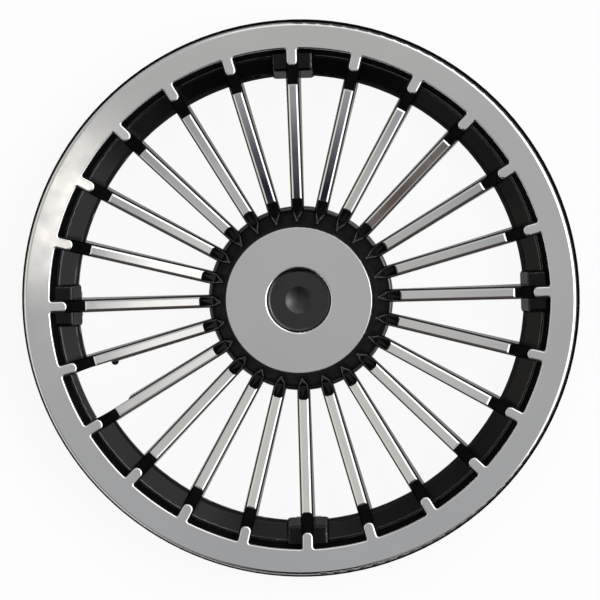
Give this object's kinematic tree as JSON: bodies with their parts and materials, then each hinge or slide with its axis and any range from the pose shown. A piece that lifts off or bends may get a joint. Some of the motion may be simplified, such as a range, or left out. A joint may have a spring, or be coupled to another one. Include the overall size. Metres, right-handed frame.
{
  "type": "turbine wheel cover",
  "caption": "Round wheel cover with a bright flat outer ring, slim radial turbine spokes, a raised plated hub and a black barrel band, held in a wheel by spring clips at its back.",
  "frame": {"origin": "on the wheel's axis, at the level of the clips' feet that the cover lies on", "axes": "+Z along the wheel's axis, out of the cover's front face; +X along one of the spokes that crosses a clip tower"},
  "size_m": [0.2286, 0.2286, 0.0305],
  "materials": {
    "cover_plastic": "gloss black moulding, with bright chrome plating on the ring, tabs, spoke lands and hub face",
    "clip_steel": "satin tempered spring steel"
  },
  "bodies": {
    "root": {"wheel_cover": "cover_plastic", "retaining_clip_1": "clip_steel", "retaining_clip_2": "clip_steel", "retaining_clip_3": "clip_steel", "retaining_clip_4": "clip_steel"}
  },
  "joints": []
}
